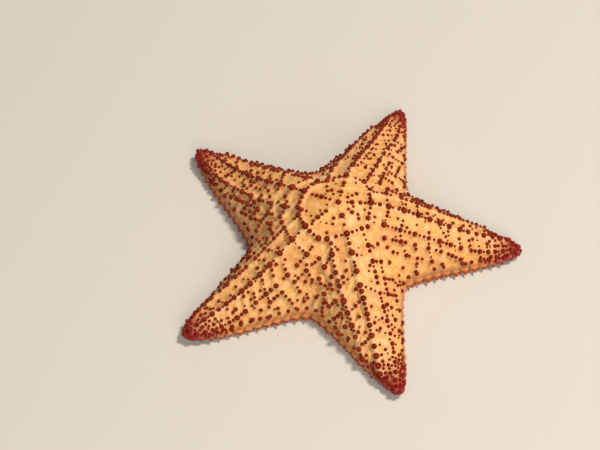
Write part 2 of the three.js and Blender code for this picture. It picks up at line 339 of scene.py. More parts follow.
ridge_tree = tree_of(ridge_points)
sieve_spot = on_back(SIEVE_KITE, (SIEVE_SHARE / 2, -SIEVE_SHARE / 2))[0]


def highest_ridge(point):
    """How high the net stands at a point. It is flat round the sieve plate."""
    near = ridge_tree.find_range(point, 2.4 * RIDGE_HALF_WIDTH)
    heights = [ridge_strengths[i] * np.exp(-((away / ridge_widths[i]) ** 2)) for _, i, away in near]
    from_sieve = np.linalg.norm(np.array(point) - sieve_spot)
    return max(heights, default=0.0) * np.interp(from_sieve, SIEVE_FLAT, (0, 1))


# A knob is as large as those already placed leave room for, or left out if that is too small.
LEAST_SIZE = 0.62
KNOB_SWELLS = [(1.0, 1.0), (0.95, 0.95), (1.06, 1.12), (1.0, 1.0), (1.12, 0.95)]  # clockwise side first
knobs = []
knob_roots = np.zeros((0, 3))
knob_radii = np.zeros(0)
for k, share, aside, wanted in knob_places:
    root = on_back(k, (share, aside))[0]
    room = min(np.linalg.norm(knob_roots - root, axis=1) - knob_radii, default=99)
    room = min(room, np.linalg.norm(root - sieve_spot) - SIEVE_ROOM)
    radius = min(wanted * KNOB_SWELLS[k][int(aside < 0)], room)
    if radius > LEAST_SIZE * wanted:
        knobs.append((k, share, aside, radius))
        knob_roots = np.vstack([knob_roots, root])
        knob_radii = np.append(knob_radii, radius)
knob_tree = tree_of(knob_roots)


# ---------- the skin
# One tough skin covers the whole animal. It is drawn tight over the net, swells round the foot of
# each knob and over the two rows of thick plates along the edge, and sinks in between. On the mouth
# side it lines a furrow under each arm and the pit round the mouth.
COLUMNS = 108  # faces along one side of a kite on the back; half as many on the mouth side
RIM_ROWS = 8
SKIN_DEPTH = 0.9  # how far the skin lies inside the body's outer form, under its coat of knobs
MESH_SINK = 0.7  # how much deeper it lies in the meshes of the net
NET_SHOULDER = 0.6  # it is out of them where a ridge is this high
NET_END = 0.06  # the net dies away this near to the rim, as a share of a kite
EDGE_PLATES = 26  # round one arm, from notch to notch
PLATE_LEVELS = [0.2, 0.8]  # their two rows, as shares of the rim's height
PLATE_RADIUS = 3.5
PLATE_SQUASH = 1.5  # they are this much less high than long
PLATE_HEIGHT = 1.5
PLATE_REACH = 0.08  # how far onto the back they reach
COLLAR_HEIGHT = 0.42  # the skin swells round the foot of a knob, as a share of its radius
COLLAR_WIDTH = 2.2
FURROW_SPAN = [0.05, 0.93]  # where it runs, as a share of the arm
FURROW_HALF_WIDTHS = [3.6, 1.3]  # at the mouth, and at the tip of an arm
FURROW_DEPTHS = [3.4, 1.4]
FURROW_FLATNESS = 1.15  # its floor is flat above 1
FURROW_STOPS = 150
FURROW_FINE = 6  # the mesh is finer this near to a furrow's middle
MOUTH_RADIUS = 6
MOUTH_DEPTH = 4.2
MOUTH_FLATNESS = 2
FULL_RIDGE = 1.5  # a ridge this high has its full tone


def skin_depth(share):
    """How far inside the body's outer form the skin lies, which is nothing at the tips."""
    return SKIN_DEPTH * np.clip((0.95 - share) / 0.15, 0, 1)


def mesh_of(form, name):
    """A smooth mesh of what a bmesh holds."""
    mesh = bpy.data.meshes.new(name)
    form.to_mesh(mesh)
    form.free()
    mesh.shade_smooth()
    return mesh


def corners_of(mesh):
    places = np.empty(len(mesh.vertices) * 3)
    mesh.vertices.foreach_get("co", places)
    return places.reshape(-1, 3)


def set_corners(mesh, points):
    """Moves a mesh's corners to points given in mm from the animal's centre."""
    mesh.vertices.foreach_set("co", ((points + CENTRE) * MM).ravel())


def read(mesh, name):
    values = np.empty(len(mesh.vertices))
    mesh.attributes[name].data.foreach_get("value", values)
    return values


def write(mesh, name, values):
    layer = mesh.attributes.get(name) or mesh.attributes.new(name, "FLOAT", "POINT")
    layer.data.foreach_set("value", np.float32(values))


def add_sheet(body, surface, k, columns, rows, stitched=False):
    """Adds a grid of faces to a bmesh, laid on one of a kite's surfaces."""
    sheet = bmesh.new()
    bmesh.ops.create_grid(sheet, x_segments=columns, y_segments=rows, size=0.5)
    flat = mesh_of(sheet, "flat")
    u, v = np.round(corners_of(flat)[:, :2] + 0.5, 6).T
    if stitched:  # every second foot of the rim steps sideways, onto the mouth side's wider faces
        u = np.where(v == 0, np.floor(u * columns / 2 + 1e-6) * 2 / columns, u)
    set_corners(flat, surface(k, u, v))
    if surface is rim:
        u, v = on_rim(u)
    write(flat, "share", (u + v) / 2)
    write(flat, "inset", 1 - np.maximum(u, v))
    write(flat, "under", np.full(len(u), surface is underside))
    body.from_mesh(flat)
    bpy.data.meshes.remove(flat)


body = bmesh.new()
for name in ("share", "inset", "under"):
    body.verts.layers.float.new(name)
for k in ARMS:
    add_sheet(body, back, k, COLUMNS, COLUMNS)
    add_sheet(body, rim, k, 2 * COLUMNS, RIM_ROWS, stitched=True)
    add_sheet(body, underside, k, COLUMNS // 2, COLUMNS // 2)
bmesh.ops.remove_doubles(body, verts=body.verts, dist=0.02 * MM)
beneath = body.verts.layers.float["under"]
furrow_shares = np.linspace(*FURROW_SPAN, FURROW_STOPS)
furrow_tree = tree_of(np.concatenate([underside(k, furrow_shares, furrow_shares) for k in ARMS]))


def past_furrow(point):
    """How far a place on the mouth side is from a furrow's middle, and how far out along it."""
    _, i, distance = furrow_tree.find(point)
    return distance, (i % FURROW_STOPS) / (FURROW_STOPS - 1)


def by_furrow(corner):
    return corner[beneath] and past_furrow(corner.co / MM - Vector(CENTRE))[0] < FURROW_FINE


fine_edges = [edge for edge in body.edges if all(by_furrow(corner) for corner in edge.verts)]
bmesh.ops.subdivide_edges(body, edges=fine_edges, cuts=1, use_grid_fill=True)
bmesh.ops.triangulate(body, faces=[face for face in body.faces if len(face.verts) > 4])
bmesh.ops.recalc_face_normals(body, faces=body.faces)
skin_mesh = mesh_of(body, "skin")


def round_the_rim(k, height, step):
    """Even stops round an arm's rim: their shares of the rim, their points and their outward ways."""
    share = np.linspace(0, 1, 600)
    run = length_along(rim(k, share, np.full(600, height)))
    stops = (np.arange(EDGE_PLATES) + step) * run[-1] / EDGE_PLATES
    share = np.interp(stops, run, share)
    height = np.full(EDGE_PLATES, height)
    return share, rim(k, share, height), normals(rim, k, share, height)


plate_middles = np.concatenate([round_the_rim(k, level, 0.5)[1] for k in ARMS for level in PLATE_LEVELS])
plate_tree = tree_of(plate_middles * (1, 1, PLATE_SQUASH))


def plate_bulge(point):
    """How far a place on the edge bulges with the plate under it, from 0 in a groove to 1."""
    distance = plate_tree.find(point * (1, 1, PLATE_SQUASH))[2]
    return np.sqrt(max(0.0, 1 - (distance / PLATE_RADIUS) ** 2))


def net_lift(ridges):
    return ridges - MESH_SINK * (1 - np.clip(ridges / NET_SHOULDER, 0, 1))


places = corners_of(skin_mesh) / MM - CENTRE
outwards = np.array([normal.vector for normal in skin_mesh.vertex_normals])
share, inset, under = (read(skin_mesh, name) for name in ("share", "inset", "under"))

ridges = np.array([highest_ridge(p) if not u else 0.0 for p, u in zip(places, under)])
nearest = [knob_tree.find(p)[1:] for p in places]
nearest_radius = knob_radii[[i for i, _ in nearest]]
from_knob = np.array([distance for _, distance in nearest]) - nearest_radius
near_knob = np.exp(-((np.clip(from_knob, 0, None) / COLLAR_WIDTH) ** 2)) * (under == 0)
lift = net_lift(ridges) + COLLAR_HEIGHT * nearest_radius * near_knob
lift *= np.clip(inset / NET_END, 0, 1)
by_rim = (inset < PLATE_REACH) & (under == 0)
plates = np.array([plate_bulge(p) if near else 0.0 for p, near in zip(places, by_rim)])
lift = np.maximum(lift, PLATE_HEIGHT * plates) - skin_depth(share)
furrowed = np.array([past_furrow(p) for p in places])
half_width = np.interp(furrowed[:, 1], (0, 1), FURROW_HALF_WIDTHS)
depth = np.interp(furrowed[:, 1], (0, 1), FURROW_DEPTHS)
groove = depth * np.clip(FURROW_FLATNESS * (1 - (furrowed[:, 0] / half_width) ** 2), 0, 1)
pit = MOUTH_DEPTH * np.clip(MOUTH_FLATNESS * (1 - np.hypot(*places[:, :2].T) / MOUTH_RADIUS), 0, 1)
lift = np.where(under == 1, -np.maximum(groove, pit), lift)
set_corners(skin_mesh, places + outwards * lift[:, None])
# How high the net stands, which sets how much painted highlight the ridges' crests get.
write(skin_mesh, "ridge", np.clip(ridges / FULL_RIDGE, 0, 1))
write(skin_mesh, "halo", near_knob)
# How far each place bulges with an edge plate, which also sets the painted shade in the grooves.
write(skin_mesh, "plate", plates)


def srgb(code):
    """The linear colour of an sRGB hex value."""
    parts = np.array([int(code[i : i + 2], 16) for i in (0, 2, 4)]) / 255
    linear = np.where(parts <= 0.04045, parts / 12.92, ((parts + 0.055) / 1.055) ** 2.4)
    return (*linear, 1.0)


def add_node(finish, kind, output=None, inputs=None, **settings):
    """Adds a node, sets its inputs to values or to the outputs that feed them, and gives an output."""
    node = finish.node_tree.nodes.new("ShaderNode" + kind)
    for name, value in settings.items():
        setattr(node, name, value)
    for name, value in (inputs or {}).items():
        if isinstance(value, bpy.types.NodeSocket):
            finish.node_tree.links.new(value, node.inputs[name])
        else:
            node.inputs[name].default_value = value
    return None if output is None else node.outputs[output]


def new_finish(name):
    finish = bpy.data.materials.new(name)
    finish.use_nodes = True
    finish.node_tree.nodes.clear()
    return finish


def roughen(finish, size, detail, strength, depth):
    """Fine noise of a real size on a finish, and the bump that it makes."""
    where = add_node(finish, "TexCoord", "Object")
    noise = add_node(finish, "TexNoise", "Fac", {"Vector": where, "Scale": 1 / size, "Detail": detail})
    bump = add_node(finish, "Bump", "Normal", {"Height": noise, "Strength": strength, "Distance": depth})
    return noise, bump


def new_object(name, data):
    thing = bpy.data.objects.new(name, data)
    bpy.context.collection.objects.link(thing)
    return thing


def add_piece(mesh, finish):
    mesh.materials.append(finish)
    piece = new_object(mesh.name, mesh)
    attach(piece, "root")
    return piece


# Living skin over lime, wet and a little translucent: a soft waxy gloss, gold to peach in cloudy
# patches, lighter on the ridges with a painted highlight on their crests, ruddy round the knobs,
# with darker pores.
CLOUD_SIZE = 18 * MM
PATCH_SIZE = 3.5 * MM
PORE_PITCH = 2.1 * MM
PEBBLE_PITCH = 2.4 * MM
GRAIN_SIZE = 1.1 * MM
skin_finish = new_finish("sea_star_skin")
where = add_node(skin_finish, "TexCoord", "Object")
share, inward, under, ridge, halo, plate = (
    add_node(skin_finish, "Attribute", "Fac", attribute_name=name)
    for name in ("share", "inset", "under", "ridge", "halo", "plate")
)
clouds, patches, grain = (
    add_node(skin_finish, "TexNoise", "Fac", {"Vector": where, **noise})
    for noise in (
        {"Scale": 1 / CLOUD_SIZE, "Detail": 3.0, "Roughness": 0.6},
        {"Scale": 1 / PATCH_SIZE, "Detail": 3.0, "Roughness": 0.65},
        {"Scale": 1 / GRAIN_SIZE, "Detail": 2.0},
    )
)
cells = {"Vector": where, "Scale": 1 / PORE_PITCH, "Randomness": 0.8}
pores = add_node(skin_finish, "TexVoronoi", "Distance", cells)
cloud, patch, pore, edge, gloss = (
    add_node(skin_finish, "MapRange", "Result", dict(zip((0, 1, 2, 3, 4), band)))
    for band in (  # a value, and the range that it is brought from and to
        (clouds, 0.35, 0.65, 0, 1),
        (patches, 0.38, 0.62, 0, 0.5),
        (pores, 0.36, 0.16, 0, 0.62),
        (inward, 0.036, 0, 0, 0.75),
        (grain, 0.3, 0.7, 0.42, 0.62),
    )
)
# Painted highlight: the skin is lighter where the net's ridges stand high.
ridge_crest_highlight = add_node(skin_finish, "Math", 0, {0: ridge, 1: 0.65}, operation="MULTIPLY")
ruddy = add_node(skin_finish, "Math", 0, {0: halo, 1: 0.3}, operation="MULTIPLY")
# The edge band: orange on the plates and darker in the grooves between them, where the dark is painted
# shade.
tints = {0: plate, 6: srgb("9A3E18"), 7: srgb("E08A4E")}
plate_tint_groove_shade = add_node(skin_finish, "Mix", 2, tints, data_type="RGBA")
band = {"Value": share, "From Min": 0.8, "From Max": 0.95}
tipward = add_node(skin_finish, "MapRange", "Result", band, interpolation_type="SMOOTHSTEP")
tints = {0: cloud, 6: srgb("D08A28"), 7: srgb("E8B156")}
colour = add_node(skin_finish, "Mix", 2, tints, data_type="RGBA")
for cover, tint in (
    (patch, srgb("F5BE92")),
    (pore, srgb("B8742C")),
    (ridge_crest_highlight, srgb("F7CB92")),
    (ruddy, srgb("C86A2C")),
    (edge, plate_tint_groove_shade),
    (tipward, srgb("8A1F1A")),
    (under, srgb("DDA15C")),
):
    colour = add_node(skin_finish, "Mix", 2, {0: cover, 6: colour, 7: tint}, data_type="RGBA")
cells = {"Vector": where, "Scale": 1 / PEBBLE_PITCH}
pebbles = add_node(skin_finish, "TexVoronoi", "Distance", cells, feature="SMOOTH_F1")
relief = {"Height": pebbles, "Strength": 0.5, "Distance": 0.9 * MM}
bump = add_node(skin_finish, "Bump", "Normal", relief, invert=True)
relief = {"Height": grain, "Strength": 0.4, "Distance": 0.4 * MM, "Normal": bump}
bump = add_node(skin_finish, "Bump", "Normal", relief)
looks = {
    "Base Color": colour,
    "Roughness": gloss,
    "IOR": 1.4,
    "Subsurface Weight": 0.12,
    "Subsurface Radius": (1.0, 0.45, 0.2),
    "Subsurface Scale": 2 * MM,
    "Coat Weight": 0.12,
    "Coat Roughness": 0.3,
    "Normal": bump,
}
shader = add_node(skin_finish, "BsdfPrincipled", "BSDF", looks)
add_node(skin_finish, "OutputMaterial", inputs={"Surface": shader})
skin = add_piece(skin_mesh, skin_finish)
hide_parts("disc", *(f"{part}_{k + 1}" for part in ("arm", "arm_tip") for k in ARMS))


# ---------- the knobs on the back
# Each is the blunt end of a limy plate, a low cone with a rounded top that stands through the
# skin and is covered by it. They are dark red, with a lighter red crown that is a painted highlight.
KNOB_RISE = 0.5  # above the skin, beside its own radius
KNOB_ROOT = (0.45, 0.3)  # below it: a share of its radius, and this much more
KNOB_TAPER = 0.17
KNOB_LIFT = 0.8  # how much of the skin's swell round its foot lifts it
PATCH = 0.003  # how wide each one's own patch is, as a share of the unwrap's width


def blank_ball(name, sides, rings, taper):
    """A ball of radius 1 that narrows upwards: the shape that many small pieces are copies of."""
    form = bmesh.new()
    bmesh.ops.create_uvsphere(form, u_segments=sides, v_segments=rings, radius=1)
    for corner in form.verts:
        corner.co.xy *= 1 - taper(corner.co.z)
    bmesh.ops.triangulate(form, faces=form.faces)
    return mesh_of(form, name)


knob_blank = blank_ball("knob_blank", 9, 6, lambda rise: KNOB_TAPER * rise)


def patch_of(blank):
    """The blank's own unwrap, a small disc for each: its top is the middle, and its foot the rim."""
    spots = []
    for face in blank.polygons:
        sides = [Vector(blank.vertices[i].co.xy) for i in face.vertices]
        middle = sum(sides, Vector((0, 0)))
        for i, side in zip(face.vertices, sides):
            level = min(max(blank.vertices[i].co.z, -1), 1)
            way = side if side.length > 1e-4 else middle
            spots.append(way.normalized() * np.arccos(level) / np.pi * PATCH / 2)
    return np.array(spots)


def on_unwrap(k, s, t):
    """Where (s, t) of a kite lies on the skin's unwrap: the kites are squares in rows of three."""
    column, row = k % 3, k // 3
    return np.column_stack([(column + 0.04 + 0.92 * s) / 3, (row + 0.04 + 0.92 * t) / 3])


def plant(name, blank, roots, directions, radii, heights, sinks, unwrap, values):
    """A mesh of many copies of a blank, each one standing at its root along its direction."""
    corner = corners_of(blank)
    rise = corner[:, 2]
    side = unit(np.cross(directions, (0.31, 0.22, 0.92)))  # square to both, whichever way it grows
    other = np.cross(directions, side)
    spread = corner[None, :, :2] * radii[:, None, None]
    level = np.where(rise > 0, rise * heights[:, None], rise * sinks[:, None])
    points = (
        roots[:, None]
        + spread[..., :1] * side[:, None]
        + spread[..., 1:] * other[:, None]
        + level[..., None] * directions[:, None]
    )
    bed = bmesh.new()
    for _ in roots:
        bed.from_mesh(blank)
    mesh = mesh_of(bed, name)
    set_corners(mesh, points)
    write(mesh, "rise", np.tile(rise, len(roots)))
    for attribute, value in values.items():
        write(mesh, attribute, np.repeat(value, len(rise)))
    spots = unwrap[:, None] + patch_of(blank)
    mesh.uv_layers.new(name="OFBake").data.foreach_set("uv", spots.ravel())
    return mesh


# Dark red skin over lime: smooth, a little wet, ruddy at the foot, with a painted highlight on the crown.
ROUGH_SIZE = 0.9 * MM
knob_finish = new_finish("dark_red_knobs")
tone, rise, share = (
    add_node(knob_finish, "Attribute", "Fac", attribute_name=name) for name in ("tone", "rise", "share")
)
tints = {0: tone, 6: srgb("5C1400"), 7: srgb("7E2204")}
colour = add_node(knob_finish, "Mix", 2, tints, data_type="RGBA")
for value, start, end, most, tint in (
    # painted highlight: the knob's top is a lighter red
    (rise, 0.75, 1.0, 0.45, "9C340E"),  # the crown
    (share, 0.72, 0.9, 0.7, "84120F"),  # the arm's tip
    (rise, 0.35, 0.05, 0.6, "B4522A"),  # the foot
):
    band = {"Value": value, "From Min": start, "From Max": end, "To Max": most}
    cover = add_node(knob_finish, "MapRange", "Result", band)
    colour = add_node(knob_finish, "Mix", 2, {0: cover, 6: colour, 7: srgb(tint)}, data_type="RGBA")
_, bump = roughen(knob_finish, ROUGH_SIZE, 2.0, 0.3, 0.2 * MM)
looks = {
    "Base Color": colour,
    "Roughness": 0.4,
    "IOR": 1.35,
    "Specular IOR Level": 0.14,
    "Coat Weight": 0.12,
    "Coat Roughness": 0.14,
    "Normal": bump,
}
shader = add_node(knob_finish, "BsdfPrincipled", "BSDF", looks)
add_node(knob_finish, "OutputMaterial", inputs={"Surface": shader})

all_knobs = np.array(knobs)
for k in ARMS:
    mine = all_knobs[:, 0] == k
    share, aside, radius = all_knobs[mine, 1:].T
    s, t = np.clip(share + aside, 0, 1), np.clip(share - aside, 0, 1)
    directions = normals(back, k, s, t)
    ridge = np.array([highest_ridge(p) for p in knob_roots[mine]])
    lift = net_lift(ridge) + KNOB_LIFT * COLLAR_HEIGHT * radius - skin_depth(share)
    mesh = plant(
        f"knobs_{k + 1}",
        knob_blank,
        knob_roots[mine] + directions * lift[:, None],
        directions,
        radius,
        radius + KNOB_RISE,
        radius * KNOB_ROOT[0] + KNOB_ROOT[1],
        on_unwrap(k, s, t),
        {"tone": rng.random(mine.sum()), "share": share},
    )
    add_piece(mesh, knob_finish)


# ---------- the spines along the edge
# Two rows of thick plates edge each arm. Every plate of the upper row bears a short dark knob, and
# those of the lower row a blunt orange spine that points outwards, with smaller ones below it. Each
# is a limy peg on a boss of its plate, held by a ring of muscle under the skin.
EDGE_ROWS = [  # height on the rim, slope above level, length, radius, sideways step in plates
    (0.5, 0.1, 3.9, 1.9, 0.5),
    (0.2, 0.0, 2.8, 1.1, 0.15),
    (0.2, 0.0, 2.8, 1.1, 0.85),
]
EDGE_LENGTHS = [(1.0, 0.8), (0.5, 0.8), (0.8, 1.1), (0.9, 0.85), (0.9, 0.5)]  # clockwise side first
EDGE_SHRINK = 0.45  # how much shorter they are at the tip
EDGE_TAPER = 0.5
EDGE_SPREAD = 0.08  # how much their directions vary
RED_START = 0.16  # the share of the rim beside the tip where they turn red
EDGE_KNOB_COVER = [(0.9, 1.0), (0.2, 1.0), (1.0, 0.9), (1.0, 0.85), (1.0, 0.75)]  # clockwise first
EDGE_KNOB_RADIUS = 1.75
EDGE_KNOB_INSET = 0.04
EDGE_KNOB_SINK = 0.3
EDGE_KNOB_HEIGHT, EDGE_KNOB_ROOT = 1.25, 0.5  # above and below its place, beside its radius

spine_blank = blank_ball("spine_blank", 8, 6, lambda rise: EDGE_TAPER * max(rise, 0))

# Soft skin over a limy peg: orange at the foot, red at the end, and red all over near the arm's tip.
spine_finish = new_finish("orange_spines")
tone, rise = (add_node(spine_finish, "Attribute", "Fac", attribute_name=name) for name in ("tone", "rise"))
band = {"Value": rise, "From Min": 0.35, "From Max": 1.0, "To Max": 0.9}
reddened = add_node(spine_finish, "MapRange", "Result", band)
tints = {0: reddened, 6: srgb("BE5A24"), 7: srgb("7C2010")}
colour = add_node(spine_finish, "Mix", 2, tints, data_type="RGBA")
tints = {0: tone, 6: colour, 7: srgb("6E160C")}
colour = add_node(spine_finish, "Mix", 2, tints, data_type="RGBA")
_, bump = roughen(spine_finish, ROUGH_SIZE, 2.0, 0.3, 0.2 * MM)
looks = {"Base Color": colour, "Roughness": 0.4, "IOR": 1.35, "Specular IOR Level": 0.14, "Normal": bump}
shader = add_node(spine_finish, "BsdfPrincipled", "BSDF", looks)
add_node(spine_finish, "OutputMaterial", inputs={"Surface": shader})

for k in ARMS:
    shares, roots, ways, lengths, widths = [], [], [], [], []
    for height, slope, length, radius, step in EDGE_ROWS:
        share, root, way = round_the_rim(k, height, step)
        size = rng.uniform(0.8, 1.15, EDGE_PLATES)
        size *= 1 - EDGE_SHRINK * np.exp(-((share - 0.5) ** 2) / 0.01)
        size *= np.interp(share, (0.44, 0.56), EDGE_LENGTHS[k])
        shares.append(share)
        roots.append(root)
        ways.append(unit(way * (1, 1, 0) + (0, 0, slope) + rng.normal(0, EDGE_SPREAD, way.shape)))
        lengths.append(length * size)
        widths.append(radius * size)
    share, widths = np.concatenate(shares), np.concatenate(widths)
    mesh = plant(
        f"edge_spines_{k + 1}",
        spine_blank,
        np.concatenate(roots),
        np.concatenate(ways),
        widths,
        np.concatenate(lengths),
        widths,
        on_unwrap(k, *on_rim(share)),
        {"tone": np.clip(1.15 - abs(share - 0.5) / RED_START, 0, 1)},
    )
    add_piece(mesh, spine_finish)

    share, _, _ = round_the_rim(k, 1.0, 0.5)
    there = rng.random(EDGE_PLATES) < np.interp(share, (0.4, 0.6), EDGE_KNOB_COVER[k])
    share = share[there | (abs(share - 0.5) < 0.1)]  # the tip has all of its own
    s, t = (place * (1 - EDGE_KNOB_INSET) for place in on_rim(share))
    way = normals(back, k, s, t)
    size = EDGE_KNOB_RADIUS * rng.uniform(0.85, 1.15, len(share))
    mesh = plant(
        f"edge_knobs_{k + 1}",
        knob_blank,
        back(k, s, t) - way * EDGE_KNOB_SINK,
        way,
        size,
        size * EDGE_KNOB_HEIGHT,
        size * EDGE_KNOB_ROOT,
        on_unwrap(k, *on_rim(share)),
        {"tone": rng.random(len(share)), "share": (s + t) / 2},
    )
    add_piece(mesh, knob_finish)


# ---------- the grains of the mouth side
# The mouth side is paved with flat plates that bear blunt limy grains, in rows beside the furrows.
# The animal lies on them. They are paler than the knobs of the back, from cream to orange.
GRAIN_PITCH = 3.7
GRAIN_ROW_PITCH = 0.87 * GRAIN_PITCH
GRAIN_RADIUS = 1.35
GRAIN_SINK = 0.7
GRAIN_GAP = 0.1  # between the grains and the floor
GRAIN_SPAN = [5, 152]  # out along an arm
GRAIN_WIDTH = 78  # to each side of its middle
GRAIN_SHAKE = 0.3
RIM_CLEAR = 0.99  # a kite's own grains stop short of its outer edges
SPOT_CLEAR = 1.3  # and lie this near to a spot that is on it
FURROW_EDGE = 1.6  # how far the first row of grains stands off the furrow
MOUTH_EDGE = 3  # and off the mouth

grain_blank = blank_ball("grain_blank", 6, 4, lambda rise: 0)

# Thin skin over lime that rubs on sand: matt, cream on the crown and orange between.
SCOUR_SIZE = 0.7 * MM
grain_finish = new_finish("cream_orange_grains")
tone, rise = (add_node(grain_finish, "Attribute", "Fac", attribute_name=name) for name in ("tone", "rise"))
tints = {0: tone, 6: srgb("C97F3C"), 7: srgb("DDA05A")}
colour = add_node(grain_finish, "Mix", 2, tints, data_type="RGBA")
band = {"Value": rise, "From Min": 0.3, "From Max": 1.0, "To Max": 0.7}
crown = add_node(grain_finish, "MapRange", "Result", band)
tints = {0: crown, 6: colour, 7: srgb("EBCB98")}
colour = add_node(grain_finish, "Mix", 2, tints, data_type="RGBA")
_, bump = roughen(grain_finish, SCOUR_SIZE, 2.0, 0.4, 0.2 * MM)
looks = {"Base Color": colour, "Roughness": 0.62, "IOR": 1.45, "Normal": bump}
shader = add_node(grain_finish, "BsdfPrincipled", "BSDF", looks)
add_node(grain_finish, "OutputMaterial", inputs={"Surface": shader})

lattice = np.linspace(0, 1, 81)
lattice_s, lattice_t = (axis.ravel() for axis in np.meshgrid(lattice, lattice, indexing="ij"))
for k in ARMS:
    spots = underside(k, lattice_s, lattice_t)
    spot_tree = tree_of(spots * (1, 1, 0))
    roots, finds = [], []
    along, across = heading(ARM_BEARINGS[k]), heading(ARM_BEARINGS[k] + 90)
    for row, off in enumerate(np.arange(-GRAIN_WIDTH, GRAIN_WIDTH + 1, GRAIN_ROW_PITCH)):
        first, last = GRAIN_SPAN
        for far in np.arange(first + GRAIN_PITCH / 2 * (row % 2), last, GRAIN_PITCH):
            spot = far * along + off * across + rng.normal(0, GRAIN_SHAKE, 2)
            _, i, distance = spot_tree.find((*spot, 0))
            root = (*spot, spots[i, 2])
            from_furrow, out = past_furrow(root)
            on_kite = distance < SPOT_CLEAR and max(lattice_s[i], lattice_t[i]) < RIM_CLEAR
            off_furrow = from_furrow > np.interp(out, (0, 1), FURROW_HALF_WIDTHS) + FURROW_EDGE
            if on_kite and off_furrow and np.hypot(*spot) > MOUTH_RADIUS + MOUTH_EDGE:
                roots.append(root)
                finds.append(i)
    size = GRAIN_RADIUS * rng.uniform(0.75, 1.15, len(roots))
    mesh = plant(
        f"grains_{k + 1}",
        grain_blank,
        np.array(roots),
        np.tile((0.0, 0.0, -1.0), (len(roots), 1)),
        size,
        np.full(len(roots), UNDER_INSET - GRAIN_GAP),
        np.full(len(roots), GRAIN_SINK),
        on_unwrap(k, lattice_s[finds], lattice_t[finds]),
        {"tone": rng.random(len(roots))},
    )
    add_piece(mesh, grain_finish)


# ---------- the furrows and their tube feet
# A furrow runs under each arm from the mouth. Two rows of soft tube feet stand in it, each a
# water-filled tube with a sucker, and flat blunt spines on its edges lean over to guard them.
FOOT_PROFILE = [  # radius, height
    (0.55, -1.0), (0.62, 0.0), (0.5, 0.55), (0.62, 0.78), (1.0, 0.9), (0.92, 1.0), (0.3, 0.94)
]  # fmt: skip
FOOT_PITCH = 3.0
FOOT_RADIUS = 1.05
FOOT_ROOM = 0.38  # its radius is at most this share of the furrow's half width
FOOT_ASIDE = 0.42  # in half widths of the furrow
FOOT_SPREAD = 0.12
FOOT_ROOT = 0.8  # how far its foot is sunk, beside its radius
FOOT_END = 0.6  # above the floor
FOOT_SINK = 0.7  # where it starts, as a share of the furrow's depth
GUARD_PITCH = 2.5
GUARD_LENGTH = 2.6
GUARD_RADIUS = 0.75
GUARD_ASIDE = 1.12
GUARD_WIDTHS = (1.2, 3.6)  # half widths of the furrow where they are half as large, and full size
GUARD_LEVEL = 0.35
GUARD_WAY = (-0.9, -0.38)  # outwards from the furrow, and up
GUARD_SPREAD = 0.15


def turned(profile, steps):
    """A form turned from a profile of radii and heights."""
    form = bmesh.new()
    corners = [form.verts.new((radius, 0, height)) for radius, height in profile]
    edges = [form.edges.new(pair) for pair in zip(corners, corners[1:])]
    shape = {"geom": corners + edges, "axis": (0, 0, 1), "cent": (0, 0, 0)}
    bmesh.ops.spin(form, **shape, angle=2 * np.pi, steps=steps, use_merge=True)
    return form


foot = turned(FOOT_PROFILE, 8)
bmesh.ops.holes_fill(foot, edges=foot.edges)
bmesh.ops.triangulate(foot, faces=foot.faces)
bmesh.ops.recalc_face_normals(foot, faces=foot.faces)
foot_blank = mesh_of(foot, "foot_blank")

# Thin wet skin full of water: pale, translucent, with a whiter sucker.
foot_finish = new_finish("translucent_tube_feet")
tone, rise = (add_node(foot_finish, "Attribute", "Fac", attribute_name=name) for name in ("tone", "rise"))
tints = {0: tone, 6: srgb("CF9860"), 7: srgb("E2B078")}
stem = add_node(foot_finish, "Mix", 2, tints, data_type="RGBA")
sucker = add_node(foot_finish, "MapRange", "Result", {"Value": rise, "From Min": 0.6, "From Max": 0.95})
tints = {0: sucker, 6: stem, 7: srgb("EFE0C4")}
colour = add_node(foot_finish, "Mix", 2, tints, data_type="RGBA")
looks = {
    "Base Color": colour,
    "Roughness": 0.32,
    "IOR": 1.36,
    "Subsurface Weight": 0.35,
    "Subsurface Radius": (1.0, 0.6, 0.35),
    "Subsurface Scale": 1.5 * MM,
}
shader = add_node(foot_finish, "BsdfPrincipled", "BSDF", looks)
add_node(foot_finish, "OutputMaterial", inputs={"Surface": shader})


def beside_furrow(k, pitch, off):
    """Stops beside a furrow, off its middle to either side in half widths of it.

    Gives their points, their shares of the arm, which side each is on, and the furrow's half
    width and depth there.
    """
    share = np.linspace(*FURROW_SPAN, 300)
    middle = underside(k, share, share)
    run = length_along(middle)
    stops = np.tile(np.arange(pitch, run[-1] - 1, pitch), 2)
    side = np.repeat((-1.0, 1.0), len(stops) // 2)
    half_width = np.interp(stops, (0, run[-1]), FURROW_HALF_WIDTHS)
    depth = np.interp(stops, (0, run[-1]), FURROW_DEPTHS)
    points = np.column_stack([np.interp(stops, run, middle[:, axis]) for axis in (0, 1, 2)])
    points[:, :2] += (side * off * half_width)[:, None] * heading(ARM_BEARINGS[k] + 90)
    return points, np.interp(stops, run, share), side, half_width, depth


